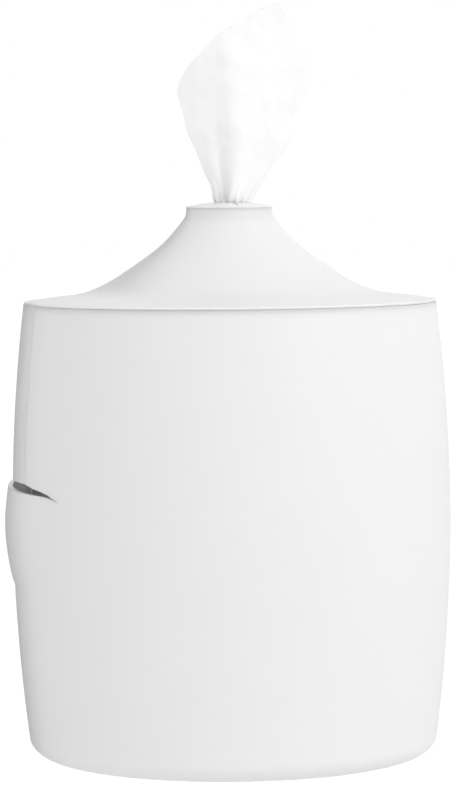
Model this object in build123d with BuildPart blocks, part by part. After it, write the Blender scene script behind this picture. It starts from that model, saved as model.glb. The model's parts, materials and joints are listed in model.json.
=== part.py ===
"""Wall-mounted dispenser for a centre-pull roll of wipes.

The barrel stands upright in front of the wall plane Y = 0 and its front faces -Y. The origin is the
centre of the four wall holes. A side seam shaped like an L parts the barrel: the back shell keeps the
rear and the upper side strips, and the front cover swings down on pins under the floor's rear edge.
"""

import os
from math import cos, radians, sin

from build123d import *

os.makedirs("parts", exist_ok=True)

# Barrel: a gently bulged side wall about a vertical axis
AXIS_Y = -141.0
FLOOR_Z = -140.0
RIM_Z = 139.4
MAX_RADIUS = 134.6
BULGE_Z = 9.8
SIDE_ARC_RADIUS = 1056.0
WALL = 3.0
FLOOR_CORNER_REACH = 20.0
FLOOR_CORNER_RISE = 12.5
CORNER_FULLNESS = 0.55

# Seams, seen from the side
SEAM_GAP = 0.8
SEAM_TOP_GAP = 1.5
HOOD_GAP = 0.3
UPPER_SEAM_Y = -157.0
LOWER_SEAM_Y = -69.2
SLOT_TOP_Z = 32.6
SLOT_TOP_EDGE = [(-170.0, 30.6), (-180.0, 29.6), (-187.5, 28.0), (-191.5, 26.6)]
SLOT_TIP = (-197.0, 24.3)
SLOT_BOTTOM_EDGE = [(-189.0, 26.0), (-180.0, 26.6), (-137.0, 27.0)]
SLOT_REAR_Z = 29.6
TONGUE_THICKNESS = 0.9
TONGUE_HEIGHT = 1.8
TONGUE_CLEARANCE = 0.3
LIP_DEPTH = 5.0
LIP_CLEARANCE = 1.2
LIP_WALL = 2.0
LIP_ROOT = 6.0
LIP_TOP_Z = 126.0

# Finger pockets: a wall that leaves the barrel gently at an angle from the front and swells to the rear.
# Each level is a circle that nearly touches the barrel there and is wider than it by an amount.
# The lowest level lies wholly inside the barrel's wall, so that the pocket runs out in it.
EAR_START_ANGLE = 58.0
EAR_SWELL = [(-33.0, 0.0), (-27.0, 7.0), (-15.0, 14.5), (0.0, 18.5), (15.0, 16.5), (30.0, 10.5)]
EAR_DIP = 0.3
EAR_NEAR_X = 100.0
EAR_HALF_HEIGHT = 30.0
EAR_END_WALL = 3.0
EAR_END_REBATE_X = 111.6
POCKET_WALL_X = 109.5
POCKET_WALL = 2.0
POCKET_FRONT_Y = -179.0
POCKET_LEDGE = 3.0

# Wall mount
PAD_HALF_WIDTH = 66.0
PAD_HALF_HEIGHT = 100.0
PAD_WALL = 3.5
PAD_DEPTH = 60.0
WALL_HOLE_RADIUS = 2.75
WALL_HOLES_ACROSS = 100.0
WALL_HOLES_UP = 150.0

# Hood: radius and height of points on its flared outside, from the rim to the collar
HOOD_WALL = 2.6
HOOD_RIM_RADIUS = 126.4
HOOD_RIM_ROUND = 0.6
HOOD_LINING_STEPS = 12
COLLAR_RADIUS = 26.2
COLLAR_TOP_Z = 197.4
HOOD_OUTSIDE = [
    (HOOD_RIM_RADIUS, 140.9),
    (110.0, 143.0),
    (92.5, 145.3),
    (76.3, 151.5),
    (58.5, 162.5),
    (39.3, 177.2),
    (29.6, 188.3),
    (COLLAR_RADIUS, 195.6),
]
HOOD_LIP_WIDTH = 3.0
HOOD_LIP_DEPTH = 1.5
SKIRT_RADIUS = 120.5
SKIRT_WALL = 2.0
SKIRT_BOTTOM_Z = 133.0

# Flange inside the back shell that the hood is screwed to
FLANGE_INNER_RADIUS = 111.0
FLANGE_BOTTOM_Z = 126.0
FLANGE_THICKNESS = 3.0
HOOD_SCREW_CIRCLE = 116.0
HOOD_SCREW_ANGLES = (-150, -108, 108, 150)
HOOD_BOSS_RADIUS = 4.0

# Nozzle
DOME_RISE = 3.6
DOME_EDGE = 0.6
CAP_WALL = 1.8
CAP_HOLE_RADIUS = 11.5
CAP_SLITS = 8
SLIT_WIDTH = 1.2
SLIT_REACH = 20.0
SLIT_OVERRUN = 1.0
CAP_SKIRT_RADIUS = COLLAR_RADIUS - HOOD_WALL - 0.1
CAP_SKIRT_WALL = 1.8
CAP_SKIRT_LENGTH = 9.0
MEMBRANE_THICKNESS = 1.2
MEMBRANE_TOP_Z = 196.4
MEMBRANE_HOLE_RADIUS = 10.6
RING_THICKNESS = 2.0
RING_HOLE_RADIUS = 14.0
DISC_GAP = 0.3
MEMBRANE_SCREW_CIRCLE = 17.8
MEMBRANE_SCREWS = 4
MEMBRANE_BOSS_RADIUS = 2.4
MEMBRANE_BOSS_HEIGHT = 2.2
MEMBRANE_SLIT = (5.0, 0.6)

# Refill
ROLL_RADIUS = 105.0
ROLL_CORE_RADIUS = 28.0
ROLL_HEIGHT = 203.0
BAG_FILM = 0.8
BAG_SLACK = 0.6
BAG_MOUTH_RADIUS = 24.0
BAG_SHOULDER = 14.0
TRAY_TOP_Z = -130.0
TRAY_THICKNESS = 3.0
TRAY_RADIUS = 106.8
TRAY_BOSS_RADIUS = 6.0
TRAY_SCREW_PLACES = [(-62.0, -58.0), (62.0, -58.0), (0.0, -34.0)]
TRAY_DRAIN_CIRCLE = 60.0
TRAY_DRAINS = 6
TRAY_DRAIN_RADIUS = 6.0

# Wipe: height, middle, half width and half thickness, across a view that is turned by an angle
WIPE_TURN = -15.0
WIPE_SECTIONS = [
    (202.0, 1.0, 9.8, 9.4),
    (212.0, 3.8, 15.2, 10.0),
    (225.0, 5.5, 23.0, 12.0),
    (240.0, 7.5, 31.0, 14.0),
    (262.0, 7.0, 37.0, 15.0),
    (273.0, 8.6, 39.0, 14.0),
    (284.0, 10.9, 35.5, 12.0),
    (299.0, 15.6, 26.5, 9.0),
    (313.0, 22.0, 12.6, 5.0),
    (321.0, 26.0, 5.0, 3.0),
]
NECK_RADIUS = 9.4
NECK_BOTTOM_Z = 140.0
NECK_OVERLAP = 1.0
TAIL_THIN_RADIUS = 7.0
TAIL_THICK_RADIUS = 9.2
TAIL_LUMP_LENGTH = 32.0
TAIL_BOTTOM_Z = -35.0

# Hinge under the floor's rear edge
HINGE_Y = -50.0
HINGE_Z = -145.8
KNUCKLE_RADIUS = 5.0
HINGE_PIN_RADIUS = 2.0
HINGE_RUNNING_GAP = 0.06
KNUCKLE_X = 48.0
KNUCKLE_WIDTH = 11.0
LUG_WIDTH = 5.0
LUG_GAP = 0.5
LUG_ROOT = 2.6
HINGE_ARM_FRONT_Y = -95.0
HINGE_ARM_SLOPE = 12.0
HINGE_ARM_TOE = 1.0
HINGE_PIN_HEAD = 1.2
FIXED_PIN_GAP = 0.02

# Latches
LATCH_Y = -118.0
LATCH_PIN_X = 125.0
LATCH_PIN_Z = -20.0
LATCH_PIN_RADIUS = 1.5
LATCH_RUNNING_GAP = 0.05
LEVER_WIDTH = 31.0
LEVER_THICKNESS = 3.0
LEVER_TOP_Z = 19.0
LEVER_KNUCKLE_RADIUS = 3.5
LEVER_KNUCKLE_LENGTH = 8.5
FINGER_PAD = (9.0, 26.0, 1.7)
LATCH_LUG_WIDTH = 3.0
LATCH_LUG_GAP = 0.5
LATCH_LUG_REACH = 4.0
LATCH_PIN_PROUD = 0.3
NOSE_TIP_X = 112.4
NOSE_WIDTH = 12.0
NOSE_TOP_Z = 1.0
NOSE_BOTTOM_Z = -6.0
NOSE_SLOPE = 6.0
NOSE_LEAD = 3.0
STRIKE_THICKNESS = 1.1
STRIKE_WIDTH = 26.0
STRIKE_RANGE_Z = (-16.0, 13.0)
STRIKE_WINDOW = (15.0, 11.0)
STRIKE_SCREW_HEIGHTS = (-12.0, 9.0)
SPRING_WIRE_RADIUS = 0.5
SPRING_RADIUS = 3.0
SPRING_TURNS = 4
SPRING_LENGTH = 6.0
SPRING_LEG_TOPS = (-4.0, -8.0)
SPRING_LEG_SPREAD = 5.5
SPRING_LEG_GAP = 0.1
SPRING_ROOM = 2.5

# Screws: head radius, head height, shaft radius, length
HOOD_SCREW = (3.6, 2.4, 1.6, 12.0)
TRAY_SCREW = (3.4, 1.8, 1.6, 7.0)
STRIKE_SCREW = (2.2, 1.1, 1.05, 2.9)
MEMBRANE_SCREW = (1.8, 1.1, 0.8, 4.6)
SCREW_CLEARANCE = 0.05
SCREW_PASSAGE = 0.15
SCREW_TIP_ROOM = 0.3
DRIVE_SLOT_SHARE = 0.25

SIDES = {"left": -1, "right": 1}
BARREL_CENTRE = (0.0, AXIS_Y)
FAR = 300.0


def barrel_radius(z):
    """The barrel's outer radius at a height."""
    return MAX_RADIUS - (z - BULGE_Z) ** 2 / (2 * SIDE_ARC_RADIUS)


def ear_solid(side, inset):
    """The swelling barrel that a pocket wall is cut from, or its hollow, on its own side."""
    start = radians(EAR_START_ANGLE)
    with BuildPart() as ear:
        for z, swell in EAR_SWELL:
            centre = (-side * swell * sin(start), AXIS_Y + swell * cos(start))
            with BuildSketch(Plane.XY.offset(z)):
                with Locations(centre):
                    Circle(barrel_radius(z) + swell - EAR_DIP - inset)
        loft()
        add(block(side_range(side, EAR_NEAR_X, FAR), (-FAR, FAR), (-FAR, FAR)), mode=Mode.INTERSECT)
    return ear.part


def upright_plane(x, y):
    """A plane through a vertical axis, whose local X is X and local Y is Z."""
    return Plane(origin=(x, y, 0), x_dir=(1, 0, 0), z_dir=(0, -1, 0))


def barrel_solid(inset, low, high, corner_reach=0.0, corner_rise=0.0):
    """The barrel, or what lies inside its wall, with a soft corner where a rise is given."""
    side_foot = low + corner_rise
    middle = (side_foot + high) / 2
    foot = (barrel_radius(side_foot) - inset, side_foot)
    head = (barrel_radius(high) - inset, high)
    lean = barrel_radius(side_foot + 1) - barrel_radius(side_foot)
    pull = CORNER_FULLNESS * corner_rise
    floor_edge = (foot[0] - corner_reach, low)
    with BuildPart() as solid:
        with BuildSketch(upright_plane(*BARREL_CENTRE)):
            with BuildLine():
                Polyline((0, high), (0, low), floor_edge)
                if corner_rise:
                    Bezier(
                        floor_edge,
                        (floor_edge[0] + CORNER_FULLNESS * corner_reach, low),
                        (foot[0] - pull * lean, side_foot - pull),
                        foot,
                    )
                ThreePointArc(foot, (barrel_radius(middle) - inset, middle), head)
                Line(head, (0, high))
            make_face()
        revolve(axis=Axis((0, AXIS_Y, 0), (0, 0, 1)))
    return solid.part


def side_prism(points, low_x=-FAR, high_x=FAR):
    """A solid with the given outline as seen from the side, in Y and Z."""
    with BuildPart() as prism:
        with BuildSketch(Plane.YZ.offset(low_x)):
            with BuildLine():
                Polyline(*points, close=True)
            make_face()
        extrude(amount=high_x - low_x)
    return prism.part


def block(x_range, y_range, z_range):
    """A box between limits on each axis."""
    size = [high - low for low, high in (x_range, y_range, z_range)]
    middle = [(high + low) / 2 for low, high in (x_range, y_range, z_range)]
    with BuildPart(Plane(origin=tuple(middle))) as solid:
        Box(*size)
    return solid.part


def side_range(side, near, far):
    """The X range from near to far on one side of the middle."""
    return (near, far) if side > 0 else (-far, -near)


def save(part, name):
    """Labels a finished piece and writes it."""
    part.label = name
    export_step(part, f"parts/{name}.step")


COVER_TOP_Z = RIM_Z - HOOD_GAP
COVER_REAR_Y = LOWER_SEAM_Y - SEAM_GAP / 2
TRAY_BOTTOM_Z = TRAY_TOP_Z - TRAY_THICKNESS
LATCH_PIN_LENGTH = LEVER_WIDTH + 2 * (LATCH_LUG_GAP + LATCH_LUG_WIDTH + LATCH_PIN_PROUD)

# Solids that both halves of the barrel are cut from
barrel_outside = barrel_solid(0.0, FLOOR_Z, COVER_TOP_Z, FLOOR_CORNER_REACH, FLOOR_CORNER_RISE)
barrel_inside = barrel_solid(
    WALL, FLOOR_Z + WALL, RIM_Z, FLOOR_CORNER_REACH - WALL, FLOOR_CORNER_RISE - WALL
)
cover_side = side_prism(
    [
        (-FAR, -FAR),
        (COVER_REAR_Y, -FAR),
        (COVER_REAR_Y, SLOT_REAR_Z),
        *reversed(SLOT_BOTTOM_EDGE),
        SLOT_TIP,
        *reversed(SLOT_TOP_EDGE),
        (UPPER_SEAM_Y - SEAM_GAP / 2, SLOT_TOP_Z),
        (UPPER_SEAM_Y - SEAM_GAP / 2, FAR),
        (-FAR, FAR),
    ]
)
shell_side = side_prism(
    [
        (LOWER_SEAM_Y + SEAM_GAP / 2, -FAR),
        (LOWER_SEAM_Y + SEAM_GAP / 2, SLOT_TOP_Z),
        (UPPER_SEAM_Y + SEAM_GAP / 2, SLOT_TOP_Z),
        (UPPER_SEAM_Y - SEAM_GAP / 2 + SEAM_TOP_GAP, RIM_Z),
        (UPPER_SEAM_Y - SEAM_GAP / 2 + SEAM_TOP_GAP, FAR),
        (FAR, FAR),
        (FAR, -FAR),
    ]
)


# Front cover
ears_outside = [ear_solid(side, 0.0) for side in SIDES.values()]
ear_hollows = [ear_solid(side, WALL) for side in SIDES.values()]
ear_hollow_side = side_prism(
    [
        (-FAR, -FAR),
        (COVER_REAR_Y - EAR_END_WALL, -FAR),
        (COVER_REAR_Y - EAR_END_WALL, FAR),
        (-FAR, FAR),
    ]
)
with BuildPart() as hollow:
    add(ear_hollows)
    add(ear_hollow_side, mode=Mode.INTERSECT)
    add(barrel_inside)


def latch_lugs(side, ear):
    """The two lugs inside a pocket wall that hold a latch lever's pin."""
    near_end = LEVER_WIDTH / 2 + LATCH_LUG_GAP
    far_end = near_end + LATCH_LUG_WIDTH
    with BuildPart() as lugs:
        for low, high in ((-far_end, -near_end), (near_end, far_end)):
            add(
                block(
                    side_range(side, LATCH_PIN_X - LATCH_LUG_REACH, FAR),
                    (LATCH_Y + low, LATCH_Y + high),
                    (LATCH_PIN_Z - LATCH_LUG_REACH, LATCH_PIN_Z + LATCH_LUG_REACH),
                )
            )
        add(ear, mode=Mode.INTERSECT)
    return lugs.part


pocket_lugs = [latch_lugs(side, ear) for side, ear in zip(SIDES.values(), ears_outside)]

# Room at each pocket's rear end, so that it clears the strike plate as the cover swings
strike_rebates = [
    block(
        side_range(side, POCKET_WALL_X, EAR_END_REBATE_X),
        (COVER_REAR_Y - EAR_END_WALL, FAR),
        (-EAR_HALF_HEIGHT, EAR_HALF_HEIGHT),
    )
    for side in SIDES.values()
]

with BuildPart() as front_cover:
    add(barrel_outside)
    add(ears_outside)
    add(cover_side, mode=Mode.INTERSECT)
    add(hollow.part, mode=Mode.SUBTRACT)
    with Locations((0, AXIS_Y, COVER_TOP_Z - TONGUE_HEIGHT)):
        Cylinder(
            barrel_radius(COVER_TOP_Z) - TONGUE_THICKNESS,
            2 * TONGUE_HEIGHT,
            align=(Align.CENTER, Align.CENTER, Align.MIN),
            mode=Mode.SUBTRACT,
        )
    add(pocket_lugs)
    add(strike_rebates, mode=Mode.SUBTRACT)
    for side in SIDES.values():
        knuckle_middle = side * (KNUCKLE_X + KNUCKLE_WIDTH / 2)
        with BuildSketch(Plane.YZ.offset(knuckle_middle)):
            with Locations((HINGE_Y, HINGE_Z)):
                Circle(KNUCKLE_RADIUS)
            with BuildLine():
                Polyline(
                    (HINGE_Y, HINGE_Z + KNUCKLE_RADIUS),
                    (COVER_REAR_Y, HINGE_Z + KNUCKLE_RADIUS),
                    (COVER_REAR_Y, FLOOR_Z + WALL / 2),
                    (HINGE_ARM_FRONT_Y, FLOOR_Z + WALL / 2),
                    (HINGE_ARM_FRONT_Y, FLOOR_Z - HINGE_ARM_TOE),
                    (HINGE_ARM_FRONT_Y + HINGE_ARM_SLOPE, HINGE_Z - KNUCKLE_RADIUS),
                    (HINGE_Y, HINGE_Z - KNUCKLE_RADIUS),
                    close=True,
                )
            make_face()
        extrude(amount=KNUCKLE_WIDTH / 2, both=True)
    with Locations(Plane(origin=(0, HINGE_Y, HINGE_Z), z_dir=(1, 0, 0))):
        Cylinder(HINGE_PIN_RADIUS + HINGE_RUNNING_GAP, FAR, mode=Mode.SUBTRACT)
    for side in SIDES.values():
        with Locations(Plane(origin=(side * LATCH_PIN_X, LATCH_Y, LATCH_PIN_Z), z_dir=(0, 1, 0))):
            Cylinder(
                LATCH_PIN_RADIUS + FIXED_PIN_GAP, LATCH_PIN_LENGTH, mode=Mode.SUBTRACT
            )
save(front_cover.part, "front_cover")


# Back shell: wall and wall pad
def pad_block(inset):
    """The box behind the barrel that reaches the wall, or its hollow."""
    return block(
        (inset - PAD_HALF_WIDTH, PAD_HALF_WIDTH - inset),
        (-PAD_DEPTH, -inset),
        (inset - PAD_HALF_HEIGHT, PAD_HALF_HEIGHT - inset),
    )


def ring(inset, thickness, low, high):
    """A band that follows the barrel's wall, inset from its outside."""
    with BuildPart() as band:
        add(barrel_solid(inset, low, high))
        add(barrel_solid(inset + thickness, low, high), mode=Mode.SUBTRACT)
    return band.part


def kept(part, keeper):
    """What two solids share."""
    with BuildPart() as shared:
        add(part)
        add(keeper, mode=Mode.INTERSECT)
    return shared.part


shell_outside = barrel_solid(0.0, FLOOR_Z, RIM_Z, FLOOR_CORNER_REACH, FLOOR_CORNER_RISE)
everywhere = (-FAR, FAR)
shell_upper_y = UPPER_SEAM_Y + SEAM_GAP / 2
shell_lower_y = LOWER_SEAM_Y + SEAM_GAP / 2
lip_inset = WALL + LIP_CLEARANCE

# A lip behind each upper seam, and the web that joins it to the wall
seam_lips = kept(
    ring(lip_inset, LIP_WALL, SLOT_TOP_Z, LIP_TOP_Z),
    block(everywhere, (UPPER_SEAM_Y - LIP_DEPTH, UPPER_SEAM_Y + LIP_ROOT), everywhere),
)
seam_webs = kept(
    ring(WALL / 2, lip_inset + LIP_WALL - WALL / 2, SLOT_TOP_Z, LIP_TOP_Z),
    block(everywhere, (shell_upper_y, UPPER_SEAM_Y + LIP_ROOT), everywhere),
)

# The ledge above each finger pocket, the pocket's inner wall and its rear end
ledge_top = SLOT_TOP_Z + POCKET_LEDGE
pocket_walls = []
for side in SIDES.values():
    across = side_range(side, POCKET_WALL_X - POCKET_WALL, FAR)
    inner_wall = block(
        side_range(side, POCKET_WALL_X - POCKET_WALL, POCKET_WALL_X),
        (POCKET_FRONT_Y, shell_lower_y + WALL),
        (-EAR_HALF_HEIGHT, ledge_top),
    )
    front_ledge = kept(
        barrel_solid(lip_inset + LIP_WALL / 2, SLOT_TOP_Z, ledge_top),
        block(across, (POCKET_FRONT_Y, shell_upper_y + LIP_ROOT), everywhere),
    )
    rear_ledge = kept(
        barrel_solid(WALL / 2, SLOT_TOP_Z, ledge_top),
        block(across, (shell_upper_y, shell_lower_y + WALL), everywhere),
    )
    rear_end = kept(
        barrel_solid(WALL / 2, -EAR_HALF_HEIGHT, ledge_top),
        block(across, (shell_lower_y, shell_lower_y + WALL), everywhere),
    )
    pocket_walls += [inner_wall, front_ledge, rear_ledge, rear_end]

# The flange that the hood is screwed to from below
hood_flange = kept(
    ring(
        WALL / 2,
        barrel_radius(FLANGE_BOTTOM_Z) - WALL / 2 - FLANGE_INNER_RADIUS,
        FLANGE_BOTTOM_Z,
        FLANGE_BOTTOM_Z + FLANGE_THICKNESS,
    ),
    block(everywhere, (UPPER_SEAM_Y + LIP_ROOT / 2, FAR), everywhere),
)
hood_screw_places = [
    (
        HOOD_SCREW_CIRCLE * sin(radians(angle)),
        AXIS_Y - HOOD_SCREW_CIRCLE * cos(radians(angle)),
    )
    for angle in HOOD_SCREW_ANGLES
]
lug_middles = (
    KNUCKLE_X - LUG_GAP - LUG_WIDTH / 2,
    KNUCKLE_X + KNUCKLE_WIDTH + LUG_GAP + LUG_WIDTH / 2,
)

with BuildPart() as back_shell:
    add(shell_outside)
    add(pad_block(0.0))
    add(shell_side, mode=Mode.INTERSECT)
    add(barrel_inside, mode=Mode.SUBTRACT)
    add(pad_block(PAD_WALL), mode=Mode.SUBTRACT)
    add([seam_lips, seam_webs, hood_flange])
    add(pocket_walls)
    with Locations(*[(x, y, TRAY_BOTTOM_Z) for x, y in TRAY_SCREW_PLACES]):
        Cylinder(
            TRAY_BOSS_RADIUS,
            TRAY_BOTTOM_Z - FLOOR_Z - WALL / 2,
            align=(Align.CENTER, Align.CENTER, Align.MAX),
        )
        Cylinder(
            TRAY_SCREW[2] + SCREW_CLEARANCE,
            TRAY_SCREW[3] - TRAY_THICKNESS + SCREW_TIP_ROOM,
            align=(Align.CENTER, Align.CENTER, Align.MAX),
            mode=Mode.SUBTRACT,
        )
    for middle in [side * x for side in SIDES.values() for x in lug_middles]:
        with BuildSketch(Plane.YZ.offset(middle)):
            with Locations((HINGE_Y, HINGE_Z)):
                Circle(KNUCKLE_RADIUS)
                Rectangle(
                    2 * KNUCKLE_RADIUS,
                    FLOOR_Z - HINGE_Z + LUG_ROOT,
                    align=(Align.CENTER, Align.MIN),
                )
        extrude(amount=LUG_WIDTH / 2, both=True)
    with Locations(Plane(origin=(0, HINGE_Y, HINGE_Z), z_dir=(1, 0, 0))):
        Cylinder(HINGE_PIN_RADIUS + FIXED_PIN_GAP, FAR, mode=Mode.SUBTRACT)
    with Locations(*[(x, y, FLANGE_BOTTOM_Z) for x, y in hood_screw_places]):
        Cylinder(HOOD_SCREW[2] + SCREW_PASSAGE, 4 * FLANGE_THICKNESS, mode=Mode.SUBTRACT)
    with Locations(upright_plane(0, 0)):
        with GridLocations(WALL_HOLES_ACROSS, WALL_HOLES_UP, 2, 2):
            Cylinder(WALL_HOLE_RADIUS, 4 * PAD_WALL, mode=Mode.SUBTRACT)
    with Locations(Plane(origin=(0, LATCH_Y, 0), z_dir=(1, 0, 0), x_dir=(0, 1, 0))):
        with Locations(*[(0, height) for height in STRIKE_SCREW_HEIGHTS]):
            Cylinder(
                STRIKE_SCREW[2] + SCREW_CLEARANCE,
                2 * (POCKET_WALL_X + POCKET_WALL),
                mode=Mode.SUBTRACT,
            )
save(back_shell.part, "back_shell")


# Hood: flared shell, skirt, a lip behind the tongue on the cover's top edge, and screw bosses
lip_outer_radius = barrel_radius(COVER_TOP_Z) - TONGUE_THICKNESS - TONGUE_CLEARANCE
with BuildPart() as lip_band:
    with BuildSketch(Plane.XY.offset(COVER_TOP_Z - HOOD_LIP_DEPTH)):
        with Locations(BARREL_CENTRE):
            Circle(lip_outer_radius)
            Circle(lip_outer_radius - HOOD_LIP_WIDTH, mode=Mode.SUBTRACT)
    extrude(amount=HOOD_LIP_DEPTH + HOOD_GAP + HOOD_WALL / 4)
hood_lip = kept(
    lip_band.part,
    block(everywhere, (-FAR, UPPER_SEAM_Y - SEAM_GAP), everywhere),
)

with BuildPart() as hood:
    with BuildSketch(upright_plane(*BARREL_CENTRE)):
        with BuildLine():
            flare = Spline(*HOOD_OUTSIDE, tangents=((-1, 0.1), (0, 1)))
            lining = Spline(
                *[
                    flare @ t + (flare % t).rotate(Axis.Z, 90) * HOOD_WALL
                    for t in (step / HOOD_LINING_STEPS for step in range(HOOD_LINING_STEPS + 1))
                ]
            )
            Line(flare @ 0, lining @ 0)
            Polyline(
                flare @ 1,
                (COLLAR_RADIUS, COLLAR_TOP_Z + HOOD_WALL),
                (COLLAR_RADIUS - HOOD_WALL, COLLAR_TOP_Z + HOOD_WALL),
                lining @ 1,
            )
        make_face()
        with Locations((0, RIM_Z)):
            Rectangle(
                FAR,
                COLLAR_TOP_Z - RIM_Z,
                align=(Align.MIN, Align.MIN),
                mode=Mode.INTERSECT,
            )
    revolve(axis=Axis((0, AXIS_Y, 0), (0, 0, 1)))
    with BuildSketch(Plane.XY.offset(SKIRT_BOTTOM_Z)):
        with Locations(BARREL_CENTRE):
            Circle(SKIRT_RADIUS)
            Circle(SKIRT_RADIUS - SKIRT_WALL, mode=Mode.SUBTRACT)
    extrude(amount=RIM_Z + HOOD_WALL / 2 - SKIRT_BOTTOM_Z)
    add(hood_lip)
    with Locations(*[(x, y, FLANGE_BOTTOM_Z + FLANGE_THICKNESS) for x, y in hood_screw_places]):
        Cylinder(
            HOOD_BOSS_RADIUS,
            RIM_Z + HOOD_WALL / 2 - FLANGE_BOTTOM_Z - FLANGE_THICKNESS,
            align=(Align.CENTER, Align.CENTER, Align.MIN),
        )
        Cylinder(
            HOOD_SCREW[2] + SCREW_CLEARANCE,
            HOOD_SCREW[3] - FLANGE_THICKNESS + SCREW_TIP_ROOM,
            align=(Align.CENTER, Align.CENTER, Align.MIN),
            mode=Mode.SUBTRACT,
        )
    rim_edge = hood.edges().filter_by(
        lambda edge: edge.geom_type == GeomType.CIRCLE and abs(edge.radius - HOOD_RIM_RADIUS) < 0.01
    )
    fillet(rim_edge.sort_by(Axis.Z)[-1], HOOD_RIM_ROUND)
save(hood.part, "hood")


# Nozzle: domed cap with radial slits, and the membrane that grips the wipe
def dome_arc(radius, base_z, apex_z):
    """Ends and middle of an arc over the axis, for a given base radius and height."""
    sphere = (radius**2 + (apex_z - base_z) ** 2) / (2 * (apex_z - base_z))
    half = radius / 2
    return (radius, base_z), (half, apex_z - sphere + (sphere**2 - half**2) ** 0.5), (0, apex_z)


cap_inside = CAP_SKIRT_RADIUS - CAP_SKIRT_WALL
dome_top_z = COLLAR_TOP_Z + DOME_RISE
slit_middle = (CAP_HOLE_RADIUS + SLIT_REACH) / 2
slit_length = SLIT_REACH - CAP_HOLE_RADIUS + 2 * SLIT_OVERRUN
boss_turn = 180 / CAP_SLITS

with BuildPart() as nozzle_cap:
    with BuildSketch(upright_plane(*BARREL_CENTRE)):
        with BuildLine():
            ThreePointArc(*dome_arc(COLLAR_RADIUS, COLLAR_TOP_Z + DOME_EDGE, dome_top_z))
            ThreePointArc(*dome_arc(cap_inside, COLLAR_TOP_Z, dome_top_z - CAP_WALL))
            Line((0, dome_top_z), (0, dome_top_z - CAP_WALL))
            Polyline(
                (cap_inside, COLLAR_TOP_Z),
                (cap_inside, COLLAR_TOP_Z - CAP_SKIRT_LENGTH),
                (CAP_SKIRT_RADIUS, COLLAR_TOP_Z - CAP_SKIRT_LENGTH),
                (CAP_SKIRT_RADIUS, COLLAR_TOP_Z),
                (COLLAR_RADIUS, COLLAR_TOP_Z),
                (COLLAR_RADIUS, COLLAR_TOP_Z + DOME_EDGE),
            )
        make_face()
    revolve(axis=Axis((0, AXIS_Y, 0), (0, 0, 1)))
    with Locations((0, AXIS_Y, MEMBRANE_TOP_Z)):
        with PolarLocations(MEMBRANE_SCREW_CIRCLE, MEMBRANE_SCREWS, start_angle=boss_turn):
            Cylinder(
                MEMBRANE_BOSS_RADIUS,
                MEMBRANE_BOSS_HEIGHT,
                align=(Align.CENTER, Align.CENTER, Align.MIN),
            )
    with Locations((0, AXIS_Y, COLLAR_TOP_Z)):
        Cylinder(CAP_HOLE_RADIUS, 4 * DOME_RISE, mode=Mode.SUBTRACT)
        with PolarLocations(slit_middle, CAP_SLITS):
            Box(slit_length, SLIT_WIDTH, 4 * DOME_RISE, mode=Mode.SUBTRACT)
        with Locations((0, 0, MEMBRANE_TOP_Z - COLLAR_TOP_Z)):
            with PolarLocations(MEMBRANE_SCREW_CIRCLE, MEMBRANE_SCREWS, start_angle=boss_turn):
                Cylinder(
                    MEMBRANE_SCREW[2] + SCREW_CLEARANCE,
                    MEMBRANE_SCREW[3] - RING_THICKNESS - MEMBRANE_THICKNESS + SCREW_TIP_ROOM,
                    align=(Align.CENTER, Align.CENTER, Align.MIN),
                    mode=Mode.SUBTRACT,
                )
save(nozzle_cap.part, "nozzle_cap")

membrane_bottom = MEMBRANE_TOP_Z - MEMBRANE_THICKNESS
ring_bottom = membrane_bottom - RING_THICKNESS
disc_radius = cap_inside - DISC_GAP


def clamped_disc(bottom_z, thickness, hole_radius, slits=0):
    """A disc under the cap with a middle hole and four screw holes."""
    with BuildPart() as disc:
        with BuildSketch(Plane.XY.offset(bottom_z)):
            with Locations(BARREL_CENTRE):
                Circle(disc_radius)
                Circle(hole_radius, mode=Mode.SUBTRACT)
                with PolarLocations(MEMBRANE_SCREW_CIRCLE, MEMBRANE_SCREWS, start_angle=boss_turn):
                    Circle(MEMBRANE_SCREW[2] + SCREW_CLEARANCE, mode=Mode.SUBTRACT)
                if slits:
                    with PolarLocations(hole_radius, slits, start_angle=boss_turn):
                        Rectangle(*MEMBRANE_SLIT, mode=Mode.SUBTRACT)
        extrude(amount=thickness)
    return disc.part


save(
    clamped_disc(membrane_bottom, MEMBRANE_THICKNESS, MEMBRANE_HOLE_RADIUS, CAP_SLITS),
    "orifice_membrane",
)
save(clamped_disc(ring_bottom, RING_THICKNESS, RING_HOLE_RADIUS), "membrane_ring")


# Refill: tray, film bag and coreless roll
with BuildPart() as roll_tray:
    with BuildSketch(Plane.XY.offset(TRAY_BOTTOM_Z)):
        with Locations(BARREL_CENTRE):
            Circle(TRAY_RADIUS)
            with PolarLocations(TRAY_DRAIN_CIRCLE, TRAY_DRAINS, start_angle=30):
                Circle(TRAY_DRAIN_RADIUS, mode=Mode.SUBTRACT)
    extrude(amount=TRAY_THICKNESS)
    with Locations(*[(x, y, TRAY_TOP_Z) for x, y in TRAY_SCREW_PLACES]):
        CounterSinkHole(TRAY_SCREW[2] + SCREW_CLEARANCE, TRAY_SCREW[0] + SCREW_CLEARANCE, TRAY_THICKNESS)
save(roll_tray.part, "roll_tray")

roll_bottom = TRAY_TOP_Z + BAG_FILM
roll_top = roll_bottom + ROLL_HEIGHT
bag_radius = ROLL_RADIUS + BAG_SLACK + BAG_FILM
bag_top = roll_top + BAG_SLACK + BAG_FILM

with BuildPart() as wipe_roll:
    with BuildSketch(Plane.XY.offset(roll_bottom)):
        with Locations(BARREL_CENTRE):
            Circle(ROLL_RADIUS)
            Circle(ROLL_CORE_RADIUS, mode=Mode.SUBTRACT)
    extrude(amount=ROLL_HEIGHT)
save(wipe_roll.part, "wipe_roll")

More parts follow.
